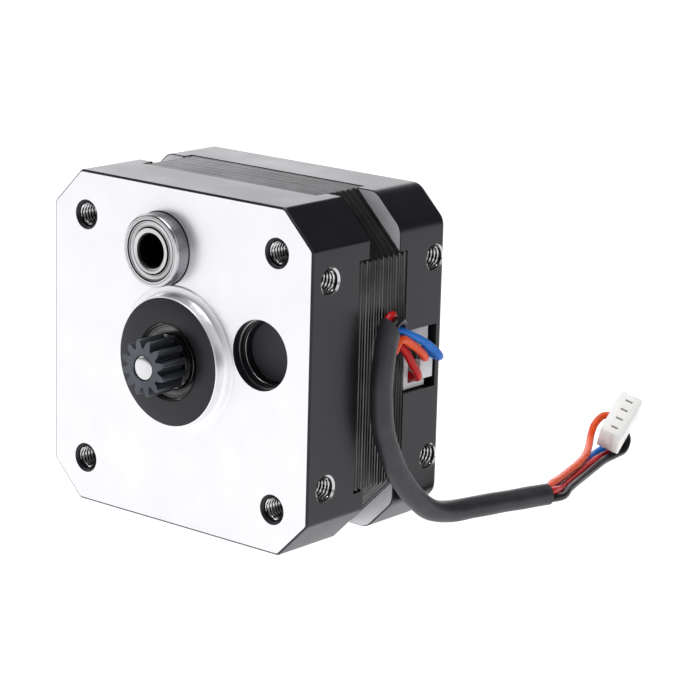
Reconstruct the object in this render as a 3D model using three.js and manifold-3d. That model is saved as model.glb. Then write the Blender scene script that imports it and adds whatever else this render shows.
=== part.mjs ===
// Geared drive of a filament extruder: a 42 mm square pancake stepper motor whose front cap is also the
// gear plate. It carries a pinion on its shaft, an idler bearing and a stepped pocket for a second shaft.
// Millimetres, +Z up. +Y runs into the motor along its shaft, so the gear face looks towards -Y.
// The origin is at the middle of the motor's footprint, on the surface that it stands on.

import * as THREE from 'three';
import { mergeVertices } from 'three/addons/utils/BufferGeometryUtils.js';
import Module from 'manifold-3d';

const wasm = await Module();
wasm.setup();

// Motor body. A depth is measured from the gear face, positive into the motor.
const BODY_SIDE = 42;
const BODY_DEPTH = 24.5;
const FRONT_CHAMFER = 4.5;
const REAR_CHAMFER = 4;
const REAR_CORNER_ROUND = 1.5;
const CORE_CHAMFER = 7;
const CORE_INSET = 0.1;
const CORE_START = 8.4;
const CORE_END = 17.4;
const FRONT_LUG_END = 10.4;
const REAR_LUG_START = 15.95;
const CAVITY_RADIUS = 17.8;
const FRONT_CAVITY_START = 4.9;
const REAR_CAVITY_END = 20.9;
const FIT_GAP = 0.1;

// Gear face
const BOSS_RADIUS = 7.95;
const BOSS_HEIGHT = 1.85;
const BOSS_FOOT_RADIUS = 9.1;
const BOSS_FOOT_HEIGHT = 0.25;
const BOSS_HOLE_RADIUS = 4.7;
const GEAR_CENTRES = 13.5;
const IDLER_ANGLE = THREE.MathUtils.degToRad(102);
const POCKET_ANGLE = THREE.MathUtils.degToRad(12.4);
const POCKET_RADIUS = 4.22;
const POCKET_STEP_RADIUS = 3.8;
const POCKET_STEP_DEPTH = 1.75;
const POCKET_DEPTH = 3;

// Screws and tapped holes, all M3
const HOLE_SPACING = 31;
const TAPPED_RADIUS = 1.6;
const CLEARANCE_RADIUS = 1.7;
const SIDE_HOLE_SPACING = 25;
const SIDE_HOLE_DEPTH = 2.8;
const FRONT_SIDE_HOLE_AT = 3.2;
const REAR_SIDE_HOLE_AT = 22.75;
const REAR_SIDE_HOLE_RADIUS = 1.5;
const SCREW_RADIUS = 1.45;
const SCREW_HEAD_RADIUS = 2.5;
const SCREW_HEAD_HEIGHT = 1.5;
const SCREW_HEAD_AT = 22.5;
const SCREW_TIP_AT = 5.2;
const COUNTERBORE_RADIUS = 2.65;

// Shaft, pinion and what is on the shaft
const SHAFT_RADIUS = 2.5;
const SHAFT_NOSE_RADIUS = 1.5;
const SHAFT_FRONT = -6;
const SHAFT_SHOULDER = -1.3;
const SHAFT_REAR = 23.8;
const PINION_TEETH = 12;
const PINION_MODULE = 0.5;
const PINION_FRONT = -6.1;
const PINION_REAR = -1.85;
const PINION_PHASE = THREE.MathUtils.degToRad(14);
const COLLAR_RADIUS = 3.1;
const SPACER_RADIUS = 3.4;
const ROTOR_RADIUS = 11;
const MAGNET_RADIUS = 10.2;
const CUP_LENGTH = 3.6;
const SEAT_CLEARANCE = 0.1;

// Stator
const POLES = 8;
const BORE_RADIUS = 11.15;
const SHOE_RADIUS = 12.4;
const SHOE_HALF_ANGLE = THREE.MathUtils.degToRad(18);
const NECK_HALF_WIDTH = 2.1;
const SLOT_RADIUS = 17;
const INSULATOR_RADIUS = 17.5;
const INSULATOR_THICKNESS = 0.7;
const COIL_INNER_RADIUS = 12.9;
const COIL_OUTER_RADIUS = 15.2;
const COIL_THICKNESS = 2.1;
const COIL_HOLE_HALF_WIDTH = 2.5;
const COIL_HOLE_HALF_HEIGHT = 5.5;

// Lead window in the rear cap's right side, and the white guide in it
const WINDOW_END = 23.5;
const WINDOW_LOW = -3.6;
const WINDOW_HIGH = 4.2;
const WINDOW_FLOOR_X = 17;
const GUIDE_BACK_X = 17.5;
const GUIDE_WALL_X = 18.3;
const GUIDE_FRONT_X = 20.3;
const PEG_FRONT_X = 20.95;
const GUIDE_START = 18.3;
const GUIDE_LOW = -3.4;
const GUIDE_HIGH = 4;

// Bearings
const MOTOR_BEARING = { bore: 2.5, outer: 5.5, width: 5, innerRing: 3.3, outerRing: 4.65, ball: 0.75 };
const IDLER_BEARING = { bore: 2, outer: 4.5, width: 4, innerRing: 2.75, outerRing: 3.8, ball: 0.6 };
const BALLS = 7;
const BALL_GAP = 0.03;
const FRONT_BEARING_AT = 1.2;
const REAR_BEARING_AT = 20.5;
const IDLER_PROUD = 2;
const IDLER_RELIEF_RADIUS = 3.2;
const IDLER_RELIEF_DEPTH = 3.5;
const REAR_EYE_RADIUS = 4;

// Leads, sleeve and plug
const LEAD_RADIUS = 0.5;
const SLEEVE_RADIUS = 1.4;
const SLEEVE_SLANT = THREE.MathUtils.degToRad(29);
const SLEEVE_CUT = 13.28;
const PLUG_ROW = 6.9;
const PLUG_THICKNESS = 3.2;
const PLUG_LENGTH = 4.5;
const PLUG_PITCH = 1.5;
const PLUG_HOLE = 0.7;

// Overall places
const REACH = -PINION_FRONT;
const FACE_Y = REACH - (BODY_DEPTH + REACH) / 2;
const AXIS_Z = BODY_SIDE / 2;
const FINE = 32;
const COARSE = 20;
const HOLE_SIDES = 12;

// ---------------------------------------------------------------- solids

// A manifold from any closed geometry, for cuts and joins.
function toManifold(geometry) {
  const bare = geometry.index ? geometry.toNonIndexed() : geometry.clone();
  bare.deleteAttribute('normal');
  bare.deleteAttribute('uv');
  const merged = mergeVertices(bare, 1e-4);
  const corners = merged.index.array;
  const kept = [];
  for (let i = 0; i < corners.length; i += 3) {
    const [a, b, c] = [corners[i], corners[i + 1], corners[i + 2]];
    if (a !== b && b !== c && c !== a) kept.push(a, b, c);
  }
  return new wasm.Manifold(new wasm.Mesh({
    numProp: 3,
    vertProperties: new Float32Array(merged.attributes.position.array),
    triVerts: new Uint32Array(kept),
  }));
}

function fromManifold(solid) {
  const mesh = solid.getMesh();
  const geometry = new THREE.BufferGeometry();
  geometry.setAttribute('position', new THREE.BufferAttribute(mesh.vertProperties, 3));
  geometry.setIndex(new THREE.BufferAttribute(mesh.triVerts, 1));
  const flat = geometry.toNonIndexed();
  flat.computeVertexNormals();
  return flat;
}

const cut = (base, tools) => tools.reduce((solid, tool) => solid.subtract(toManifold(tool)), base);
const join = (base, extras) => extras.reduce((solid, extra) => solid.add(toManifold(extra)), base);

// A [radius, depth] profile turned about the shaft direction, Y. One off the axis closes on itself.
function turned(profile, segments = COARSE) {
  const onAxis = profile[0][0] === 0;
  const outline = onAxis ? profile : [...profile, profile[0]];
  const points = outline.map(([radius, depth]) => new THREE.Vector2(radius, depth));
  return new THREE.LatheGeometry(points, segments);
}

const ring = (inner, outer, from, to, segments = COARSE) =>
  turned([[inner, from], [outer, from], [outer, to], [inner, to]], segments);

// A plain cylinder along Y, at x and z.
function rod(radius, from, to, segments = FINE, x = 0, z = 0) {
  const geometry = new THREE.CylinderGeometry(radius, radius, to - from, segments);
  return geometry.translate(x, (from + to) / 2, z);
}

// A shape drawn in X and Z, made solid between two depths.
function plate(shape, from, to, curveSegments = 6) {
  const geometry = new THREE.ExtrudeGeometry(shape, { depth: to - from, bevelEnabled: false, curveSegments });
  return geometry.rotateX(Math.PI / 2).translate(0, to, 0);
}

function block(low, high) {
  const size = high.map((value, i) => value - low[i]);
  const middle = high.map((value, i) => (value + low[i]) / 2);
  return new THREE.BoxGeometry(...size).translate(...middle);
}

// A square outline with chamfered corners, each end of a chamfer rounded off by about the given radius.
function squareOutline(side, chamfer, round = 0) {
  const half = side / 2;
  const near = half - chamfer;
  const corners = [
    [near, -half], [half, -near], [half, near], [near, half],
    [-near, half], [-half, near], [-half, -near], [-near, -half],
  ].map(([x, z]) => new THREE.Vector2(x, z));
  if (!round) return new THREE.Shape(corners);
  const shape = new THREE.Shape();
  const back = round * Math.tan(Math.PI / 8);
  corners.forEach((corner, i) => {
    const before = corners.at(i - 1).clone().sub(corner).setLength(back).add(corner);
    const after = corners[(i + 1) % corners.length].clone().sub(corner).setLength(back).add(corner);
    if (i === 0) shape.moveTo(before.x, before.y);
    else shape.lineTo(before.x, before.y);
    shape.quadraticCurveTo(corner.x, corner.y, after.x, after.y);
  });
  return shape;
}

const boltPlaces = [[1, 1], [-1, 1], [-1, -1], [1, -1]]
  .map(([x, z]) => [x * HOLE_SPACING / 2, z * HOLE_SPACING / 2]);

const onCircle = (radius, angle) => [radius * Math.cos(angle), radius * Math.sin(angle)];

// ---------------------------------------------------------------- the model

const motor = new THREE.Group();
motor.position.set(0, FACE_Y, AXIS_Z);

const finishes = {
  paint: { color: 0x1d1e21, roughness: 0.45, metalness: 0.1 },
  steel: { color: 0xc9c9c7, roughness: 0.25, metalness: 1 },
  darkSteel: { color: 0x3a424c, roughness: 0.45, metalness: 0.8 },
  laminations: { color: 0x4a4a48, roughness: 0.5, metalness: 0.7 },
  copper: { color: 0xb8693a, roughness: 0.35, metalness: 0.9 },
  whitePlastic: { color: 0xeeeeea, roughness: 0.5, metalness: 0 },
  magnet: { color: 0x55565a, roughness: 0.6, metalness: 0.4 },
  brass: { color: 0xc2a050, roughness: 0.35, metalness: 1 },
  sleeve: { color: 0x2a2a2d, roughness: 0.55, metalness: 0 },
};

function add(parent, name, geometry, finish) {
  const mesh = new THREE.Mesh(geometry, new THREE.MeshStandardMaterial(finish));
  mesh.name = name;
  parent.add(mesh);
}

// ---------------------------------------------------------------- caps

// The core's outline with fitting room. It is wide at the flats, so that only the caps' corners are left.
const coreRoom = (from, to) =>
  plate(squareOutline(BODY_SIDE + 2, CORE_CHAMFER + 1 - FIT_GAP), from, to);

const idlerPlace = onCircle(GEAR_CENTRES, IDLER_ANGLE);
const pocketPlace = onCircle(GEAR_CENTRES, POCKET_ANGLE);
const idlerSeatDepth = IDLER_BEARING.width - IDLER_PROUD;

// A tapped hole in the right side, modelled as a plain hole.
function sideHole(depth, radius, z) {
  const hole = new THREE.CylinderGeometry(radius, radius, 2 * SIDE_HOLE_DEPTH, HOLE_SIDES);
  return hole.rotateZ(Math.PI / 2).translate(BODY_SIDE / 2, depth, z);
}

const sideHoles = (depth, radius) =>
  [-1, 1].map((side) => sideHole(depth, radius, side * SIDE_HOLE_SPACING / 2));

function frontCap() {
  const foot = [
    [BOSS_HOLE_RADIUS, -BOSS_HEIGHT], [BOSS_RADIUS, -BOSS_HEIGHT], [BOSS_RADIUS, -BOSS_FOOT_HEIGHT],
    [BOSS_FOOT_RADIUS, 0], [BOSS_FOOT_RADIUS, 1], [BOSS_HOLE_RADIUS, 1],
  ];
  const body = toManifold(plate(squareOutline(BODY_SIDE, FRONT_CHAMFER), 0, FRONT_LUG_END));
  const seatRadius = MOTOR_BEARING.outer + SEAT_CLEARANCE;
  const seatFront = FRONT_BEARING_AT - MOTOR_BEARING.width / 2 - FIT_GAP / 2;
  return fromManifold(cut(join(body, [turned(foot, FINE)]), [
    coreRoom(CORE_START, FRONT_LUG_END + 1),
    rod(CAVITY_RADIUS, FRONT_CAVITY_START, CORE_START + 1),
    rod(BOSS_HOLE_RADIUS, -BOSS_HEIGHT - 1, seatFront + 1),
    rod(seatRadius, seatFront, FRONT_CAVITY_START + 1),
    rod(IDLER_BEARING.outer + SEAT_CLEARANCE, -1, idlerSeatDepth + FIT_GAP, COARSE, ...idlerPlace),
    rod(IDLER_RELIEF_RADIUS, -1, IDLER_RELIEF_DEPTH, COARSE, ...idlerPlace),
    rod(POCKET_RADIUS, -1, POCKET_STEP_DEPTH, FINE, ...pocketPlace),
    rod(POCKET_STEP_RADIUS, -1, POCKET_DEPTH, FINE, ...pocketPlace),
    ...boltPlaces.map(([x, z]) => rod(TAPPED_RADIUS, -1, FRONT_LUG_END + 1, HOLE_SIDES, x, z)),
    ...sideHoles(FRONT_SIDE_HOLE_AT, TAPPED_RADIUS),
  ]));
}

function rearCap() {
  const outline = squareOutline(BODY_SIDE, REAR_CHAMFER, REAR_CORNER_ROUND);
  const body = toManifold(plate(outline, REAR_LUG_START, BODY_DEPTH, 3));
  const seatRadius = MOTOR_BEARING.outer + SEAT_CLEARANCE;
  const seatEnd = REAR_BEARING_AT + MOTOR_BEARING.width / 2 + 0.4;
  const seatFront = REAR_BEARING_AT - MOTOR_BEARING.width / 2;
  const hub = rod(seatRadius + 1.8, seatFront, REAR_CAVITY_END + 1);
  const hollow = rod(CAVITY_RADIUS, CORE_END - 1, REAR_CAVITY_END);
  const window = block(
    [WINDOW_FLOOR_X, CORE_END - 1, WINDOW_LOW],
    [BODY_SIDE, WINDOW_END, WINDOW_HIGH],
  );
  const shell = cut(body, [coreRoom(REAR_LUG_START - 1, CORE_END), hollow]);
  return fromManifold(cut(join(shell, [hub]), [
    rod(seatRadius, seatFront - 1, seatEnd),
    rod(REAR_EYE_RADIUS, seatEnd - 1, BODY_DEPTH + 1, COARSE),
    window,
    ...boltPlaces.map(([x, z]) => rod(CLEARANCE_RADIUS, REAR_LUG_START - 1, BODY_DEPTH, HOLE_SIDES, x, z)),
    ...boltPlaces.map(([x, z]) => rod(COUNTERBORE_RADIUS, SCREW_HEAD_AT, BODY_DEPTH + 1, HOLE_SIDES, x, z)),
    ...sideHoles(REAR_SIDE_HOLE_AT, REAR_SIDE_HOLE_RADIUS),
  ]));
}

add(motor, 'front_cap', frontCap(), finishes.paint);
add(motor, 'rear_cap', rearCap(), finishes.paint);

// ---------------------------------------------------------------- stator

// The star-shaped opening of a core or insulator: poles with shoes, and slots between them.
function poleOpening(bore, shoe, neckHalfWidth, slot) {
  const points = [];
  const neckAt = (radius) => Math.asin(neckHalfWidth / radius);
  for (let pole = 0; pole < POLES; pole++) {
    const middle = (2 * Math.PI * pole) / POLES;
    for (let step = -2; step <= 2; step++) {
      points.push(onCircle(bore, middle + (SHOE_HALF_ANGLE * step) / 2));
    }
    points.push(onCircle(shoe, middle + SHOE_HALF_ANGLE));
    points.push(onCircle(shoe, middle + neckAt(shoe)));
    const next = middle + (2 * Math.PI) / POLES;
    const [slotStart, slotEnd] = [middle + neckAt(slot), next - neckAt(slot)];
    for (let step = 0; step <= 3; step++) {
      points.push(onCircle(slot, slotStart + ((slotEnd - slotStart) * step) / 3));
    }
    points.push(onCircle(shoe, next - neckAt(shoe)));
    points.push(onCircle(shoe, next - SHOE_HALF_ANGLE));
  }
  return new THREE.Path(points.map(([x, z]) => new THREE.Vector2(x, z)));
}

function circlePath(x, z, radius, kind = THREE.Path) {
  const path = new kind();
  path.absarc(x, z, radius, 0, 2 * Math.PI);
  return path;
}

function statorCore() {
  const shape = squareOutline(BODY_SIDE - 2 * CORE_INSET, CORE_CHAMFER - CORE_INSET);
  shape.holes.push(poleOpening(BORE_RADIUS, SHOE_RADIUS, NECK_HALF_WIDTH, SLOT_RADIUS));
  boltPlaces.forEach(([x, z]) => shape.holes.push(circlePath(x, z, CLEARANCE_RADIUS)));
  return plate(shape, CORE_START + FIT_GAP / 2, CORE_END - FIT_GAP / 2);
}

function insulator(from) {
  const shape = circlePath(0, 0, INSULATOR_RADIUS, THREE.Shape);
  const opening = poleOpening(BORE_RADIUS + 0.4, SHOE_RADIUS + 0.2, NECK_HALF_WIDTH + 0.2, SLOT_RADIUS - 0.8);
  shape.holes.push(opening);
  return plate(shape, from, from + INSULATOR_THICKNESS, 12);
}

function coil() {
  const width = COIL_HOLE_HALF_WIDTH + COIL_THICKNESS;
  const height = COIL_HOLE_HALF_HEIGHT + COIL_THICKNESS;
  const corner = COIL_THICKNESS / 2;
  const shape = new THREE.Shape([
    [width, corner - height], [width, height - corner], [width - corner, height],
    [corner - width, height], [-width, height - corner], [-width, corner - height],
    [corner - width, -height], [width - corner, -height],
  ].map(([x, y]) => new THREE.Vector2(x, y)));
  shape.holes.push(new THREE.Path([[-1, -1], [-1, 1], [1, 1], [1, -1]]
    .map(([x, y]) => new THREE.Vector2(x * COIL_HOLE_HALF_WIDTH, y * COIL_HOLE_HALF_HEIGHT))));
  const depth = COIL_OUTER_RADIUS - COIL_INNER_RADIUS;
  const geometry = new THREE.ExtrudeGeometry(shape, { depth, bevelEnabled: false });
  return geometry.translate(0, (CORE_START + CORE_END) / 2, COIL_INNER_RADIUS);
}

add(motor, 'stator_core', statorCore(), finishes.laminations);
add(motor, 'front_insulator', insulator(CORE_START - INSULATOR_THICKNESS - 0.05), finishes.whitePlastic);
add(motor, 'rear_insulator', insulator(CORE_END + 0.05), finishes.whitePlastic);
for (let pole = 0; pole < POLES; pole++) {
  const arm = new THREE.Group();
  arm.rotation.y = (2 * Math.PI * pole) / POLES;
  motor.add(arm);
  add(arm, `coil_${pole + 1}`, coil(), finishes.copper);
}

// The white guide that leads the wires out: a back plate, a shelf above and below, a post beside the
// core and a peg between the wires.
function leadGuide() {
  const back = toManifold(block(
    [GUIDE_BACK_X, GUIDE_START, GUIDE_LOW],
    [GUIDE_WALL_X, 21.5, GUIDE_HIGH],
  ));
  return fromManifold(join(back, [
    block([GUIDE_BACK_X, GUIDE_START, 1.6], [GUIDE_FRONT_X, 22.8, GUIDE_HIGH]),
    block([GUIDE_BACK_X, GUIDE_START, GUIDE_LOW], [GUIDE_FRONT_X, 22.3, -2.65]),
    block([GUIDE_BACK_X, GUIDE_START, GUIDE_LOW], [GUIDE_FRONT_X, 19.1, GUIDE_HIGH]),
    block([GUIDE_BACK_X, 20.6, -2.35], [PEG_FRONT_X, 23.05, 0.2]),
  ]));
}
add(motor, 'lead_block', leadGuide(), finishes.whitePlastic);

// ---------------------------------------------------------------- bearings

// A shielded ball bearing about Y, its middle at the group's origin.
function addBearing(parent, prefix, size) {
  const half = size.width / 2;
  const pitch = size.innerRing + size.ball + BALL_GAP;
  const groove = size.ball * 0.95;
  const grooveDepth = size.ball + 0.12;
  add(parent, `${prefix}_outer_ring`, turned([
    [size.outerRing, -half], [size.outer, -half], [size.outer, half], [size.outerRing, half],
    [size.outerRing, groove], [pitch + grooveDepth, 0], [size.outerRing, -groove],
  ]), finishes.steel);
  add(parent, `${prefix}_inner_ring`, ring(size.bore + 0.05, size.innerRing, -half, half), finishes.steel);
  const cage = toManifold(ring(pitch - 0.2, pitch + 0.2, -0.25, 0.25));
  const balls = Array.from({ length: BALLS }, (_, i) => {
    const [x, z] = onCircle(pitch, (2 * Math.PI * i) / BALLS);
    return new THREE.SphereGeometry(size.ball, 8, 4).translate(x, 0, z);
  });
  add(parent, `${prefix}_ball_cage`, fromManifold(join(cage, balls)), finishes.brass);
  for (const [name, side] of [['front', -1], ['rear', 1]]) {
    const faces = [side * (half - 0.35), side * (half - 0.1)].sort((a, b) => a - b);
    const shield = ring(size.innerRing + 0.13, size.outerRing - 0.07, ...faces);
    add(parent, `${prefix}_${name}_shield`, shield, finishes.steel);
  }
}

function bearingAt(depth, [x, z] = [0, 0]) {
  const group = new THREE.Group();
  group.position.set(x, depth, z);
  motor.add(group);
  return group;
}

addBearing(bearingAt(FRONT_BEARING_AT), 'front_bearing', MOTOR_BEARING);
addBearing(bearingAt(REAR_BEARING_AT), 'rear_bearing', MOTOR_BEARING);
addBearing(bearingAt(IDLER_BEARING.width / 2 - IDLER_PROUD, idlerPlace), 'idler_bearing', IDLER_BEARING);

const rearSeatFloor = REAR_BEARING_AT + MOTOR_BEARING.width / 2;
add(motor, 'wave_washer', ring(4.2, 5.4, rearSeatFloor + 0.05, rearSeatFloor + 0.35), finishes.steel);

// ---------------------------------------------------------------- shaft and rotor

const shaft = () => turned([
  [0, SHAFT_FRONT], [SHAFT_NOSE_RADIUS, SHAFT_FRONT], [SHAFT_NOSE_RADIUS, SHAFT_SHOULDER],
  [SHAFT_RADIUS, SHAFT_SHOULDER], [SHAFT_RADIUS, SHAFT_REAR], [0, SHAFT_REAR],
]);

// A 20 degree tooth drawn with straight flanks, each half-width being an angle at its radius.
function pinion() {
  const pitchRadius = (PINION_MODULE * PINION_TEETH) / 2;
  const tip = pitchRadius + PINION_MODULE;
  const root = pitchRadius - 1.25 * PINION_MODULE;
  const quarterTooth = Math.PI / (2 * PINION_TEETH);
  const flank = [[root, 1.35], [pitchRadius, 1], [tip - 0.12, 0.62], [tip, 0.3]];
  const shape = new THREE.Shape();
  const points = [];
  for (let tooth = 0; tooth < PINION_TEETH; tooth++) {
    const middle = PINION_PHASE + (2 * Math.PI * tooth) / PINION_TEETH;
    for (const [radius, widths] of flank) {
      points.push(onCircle(radius, middle - quarterTooth * widths));
    }
    for (const [radius, widths] of flank.toReversed()) {
      points.push(onCircle(radius, middle + quarterTooth * widths));
    }
  }
  shape.setFromPoints(points.map(([x, z]) => new THREE.Vector2(x, z)));
  shape.holes.push(circlePath(0, 0, SHAFT_NOSE_RADIUS + 0.08));
  return plate(shape, PINION_FRONT, PINION_REAR, COARSE / 2);
}

const onNose = SHAFT_NOSE_RADIUS + 0.1;
const onShaft = SHAFT_RADIUS + 0.1;
const magnetHalf = (CORE_END - CORE_START) / 2 - CUP_LENGTH;
const coreMiddle = (CORE_START + CORE_END) / 2;
const frontBearingRear = FRONT_BEARING_AT + MOTOR_BEARING.width / 2;
const rearBearingFront = REAR_BEARING_AT - MOTOR_BEARING.width / 2;

const onShaftRing = (inner, outer, [from, to], segments = COARSE) => ring(inner, outer, from, to, segments);
const places = {
  collar: [PINION_REAR + 0.05, SHAFT_SHOULDER - 0.05],
  frontSpacer: [frontBearingRear + 0.1, CORE_START - 0.1],
  rearSpacer: [CORE_END + 0.1, rearBearingFront - 0.1],
  frontCup: [CORE_START, CORE_START + CUP_LENGTH],
  rearCup: [CORE_END - CUP_LENGTH, CORE_END],
  magnet: [coreMiddle - magnetHalf + 0.05, coreMiddle + magnetHalf - 0.05],
};
const rotorCup = (place) => onShaftRing(onShaft, ROTOR_RADIUS, place, FINE);

add(motor, 'shaft', shaft(), finishes.steel);
add(motor, 'pinion', pinion(), finishes.darkSteel);
add(motor, 'pinion_collar', onShaftRing(onNose, COLLAR_RADIUS, places.collar), finishes.steel);
add(motor, 'front_spacer', onShaftRing(onShaft, SPACER_RADIUS, places.frontSpacer), finishes.brass);
add(motor, 'rear_spacer', onShaftRing(onShaft, SPACER_RADIUS, places.rearSpacer), finishes.brass);
add(motor, 'front_rotor_cup', rotorCup(places.frontCup), finishes.laminations);
add(motor, 'rear_rotor_cup', rotorCup(places.rearCup), finishes.laminations);
add(motor, 'rotor_magnet', onShaftRing(onShaft, MAGNET_RADIUS, places.magnet), finishes.magnet);

// ---------------------------------------------------------------- long screws

const headSeat = SCREW_HEAD_AT + 0.05;
const longScrew = () => turned([
  [0, SCREW_TIP_AT], [SCREW_RADIUS, SCREW_TIP_AT], [SCREW_RADIUS, headSeat],
  [SCREW_HEAD_RADIUS, headSeat], [SCREW_HEAD_RADIUS, headSeat + SCREW_HEAD_HEIGHT],
  [0, headSeat + SCREW_HEAD_HEIGHT],
], HOLE_SIDES);

boltPlaces.forEach(([x, z], i) => {
  add(motor, `long_screw_${i + 1}`, longScrew().translate(x, 0, z), finishes.darkSteel);
});

// ---------------------------------------------------------------- leads, sleeve and plug

const cable = new THREE.Group();
cable.position.copy(motor.position);

// A tube along a smooth curve through the points, each one [x, depth, z].
function tube(points, radius, steps) {
  const curve = new THREE.CatmullRomCurve3(points.map((point) => new THREE.Vector3(...point)));
  const section = new THREE.Shape(
    Array.from({ length: 8 }, (_, i) => new THREE.Vector2(...onCircle(radius, (Math.PI * i) / 4))),
  );
  return new THREE.ExtrudeGeometry(section, { steps, bevelEnabled: false, extrudePath: curve });
}

// The sleeve hangs beside the motor from the window's height, then lies on the surface behind it.
// Its upper end is cut at a slant, open towards the rear, where the leads come out.
const sleeveRoute = [
  [22.9, 12.5, 6.9], [22.9, 11.9, 5.2], [22.9, 11.35, 3.2], [22.9, 10.95, 0.8], [22.9, 10.85, -2.6],
  [22.9, 11.4, -6.4], [22.9, 12.9, -9.9], [22.9, 15.1, -13.3], [22.9, 17.9, -16.3], [22.95, 21.2, -18.6],
  [23.3, 24.8, -19.5], [24.2, 28.6, -19.58], [25.3, 32.3, -19.58], [26.4, 35.8, -19.58], [27.5, 39.3, -19.58],
];
const wholeSleeve = toManifold(tube(sleeveRoute, SLEEVE_RADIUS, 22));
const sleeveSide = [0, -Math.cos(SLEEVE_SLANT), -Math.sin(SLEEVE_SLANT)];
const slantedSleeve = wholeSleeve.trimByPlane(sleeveSide, -SLEEVE_CUT);
add(cable, 'cable_sleeve', fromManifold(slantedSleeve), finishes.sleeve);

// Each lead shows twice: between the window and the sleeve's mouth, and between the sleeve and the plug.
const leads = {
  blue: {
    color: 0x2f6fd6,
    motorSide: [
      [22.45, 13, 5.1], [22.5, 13.4, 5.25], [22.6, 14.3, 5.15], [22.7, 15.3, 4.7], [22.8, 16.7, 4.05],
      [22.9, 18.3, 3.3], [23, 20.1, 2.15], [23, 21.5, 1.05], [22.5, 22.3, 0.5], [21.6, 22.4, 0.6],
      [20.6, 22.15, 0.9], [19.6, 22.1, 0.95], [19.2, 22.1, 0.95],
    ],
    plugSide: [
      [27.05, 39.85, -20.2], [25.85, 42.2, -20.45], [24.5, 45, -20.45], [23.2, 48.9, -20.45],
      [21.8, 52.9, -20.45], [20.8, 56.5, -20.45], [20, 59.4, -20.45], [19.5, 61.4, -20.45],
      [19.45, 62.95, -20.2], [20, 63.65, -19.6], [20.7, 63.15, -19.15], [21.4, 62, -18.94],
    ],
  },
  orange: {
    color: 0xe8562a,
    motorSide: [
      [23.3, 13.5, 4.2], [23.2, 14.5, 4.1], [23.05, 15.8, 3.4], [22.85, 17.4, 2.5], [22.6, 18.8, 1.6],
      [22.2, 19.9, 0.8], [21.5, 20.6, 0.6], [20.6, 20.95, 0.85], [19.6, 20.95, 0.95], [19.2, 20.95, 0.95],
    ],
    plugSide: [
      [27.05, 39.85, -18.96], [26.1, 42.3, -19.05], [25.2, 45.1, -19.28], [24, 48.7, -19.4],
      [22.8, 52.6, -19.4], [21.3, 56.4, -19.35], [19.2, 60.3, -19.1], [17.6, 63, -18.5],
      [16.9, 64.9, -17.5], [17.3, 66.15, -16.6], [18.8, 66.6, -16.4], [20.3, 66.2, -16.35],
      [21.16, 65.48, -16.12],
    ],
  },
  red: {
    color: 0xd3262b,
    motorSide: [
      [22.36, 12.2, 6.65], [22.15, 13.3, 7.1], [21.75, 14.1, 6.75], [21.52, 14.45, 5.8],
      [21.55, 14.7, 4.6], [21.8, 15.4, 3.2], [22.1, 16.4, 1.9], [22.2, 17.4, 0.5], [22.1, 18.6, -0.9],
      [21.5, 19.5, -1.75], [20.6, 19.9, -1.95], [19.6, 19.85, -1.9], [19.2, 19.85, -1.9],
    ],
    plugSide: [
      [28.19, 39.51, -18.96], [27.1, 42.3, -19.7], [25.7, 45, -20.4], [25, 47, -20.45], [23, 53, -20.45],
      [21.95, 56.5, -20.45], [21.1, 60, -20.45], [20.75, 62.6, -20.45], [20.62, 64.55, -20.15],
      [20.72, 65.2, -19.3], [21, 64.45, -18.5], [21.32, 63.15, -18.01],
    ],
  },
  black: {
    color: 0x1b1b1d,
    motorSide: [
      [23.4, 12.4, 6.15], [23.25, 13.3, 6.5], [22.95, 14.2, 6.4], [22.5, 15.05, 6], [21.95, 15.75, 5.3],
      [21.6, 16.4, 4.4], [21.55, 17.2, 3.3], [21.55, 18.2, 2.3], [21.3, 19.2, 1.3], [20.5, 19.7, 0.7],
      [19.6, 19.85, 0.5], [19.2, 19.85, 0.5],
    ],
    plugSide: [
      [28.19, 39.51, -20.2], [27.9, 42.2, -20.45], [26.9, 45, -20.45], [24.15, 53, -20.45],
      [23.1, 56.5, -20.45], [22.15, 60, -20.45], [21.75, 63, -20.45], [21.6, 65.2, -20.2],
      [21.25, 66.35, -19.1], [20.98, 65.8, -17.75], [21.24, 64.33, -17.07],
    ],
  },
};
for (const [colour, lead] of Object.entries(leads)) {
  const finish = { color: lead.color, roughness: 0.4, metalness: 0 };
  add(cable, `${colour}_lead_motor_side`, tube(lead.motorSide, LEAD_RADIUS, 14), finish);
  add(cable, `${colour}_lead_plug_side`, tube(lead.plugSide, LEAD_RADIUS, 18), finish);
}

// The plug rests on its leads, its four contact holes facing forward and up.
const plug = new THREE.Group();
const plugRow = new THREE.Vector3(0.055, -0.778, -0.626).normalize();
const plugFace = new THREE.Vector3(0.476, -0.531, 0.701);
const plugAcross = new THREE.Vector3().crossVectors(plugFace, plugRow).normalize();
plugFace.crossVectors(plugRow, plugAcross);
plug.position.set(22.52, 62.36, -15.71);
plug.setRotationFromMatrix(new THREE.Matrix4().makeBasis(plugRow, plugAcross, plugFace));

function plugHousing() {
  const size = [PLUG_ROW, PLUG_THICKNESS, PLUG_LENGTH].map((value) => value / 2);
  const body = toManifold(block(size.map((value) => -value), size));
  const holes = [-1.5, -0.5, 0.5, 1.5].map((place) => {
    const hole = new THREE.BoxGeometry(PLUG_HOLE / 2, PLUG_HOLE, 3);
    return hole.translate(place * PLUG_PITCH, 0, PLUG_LENGTH / 2);
  });
  return fromManifold(cut(body, holes));
}
cable.add(plug);
add(plug, 'plug_housing', plugHousing(), finishes.whitePlastic);

const assembly = new THREE.Group();
assembly.add(motor, cable);

export default assembly;
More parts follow.
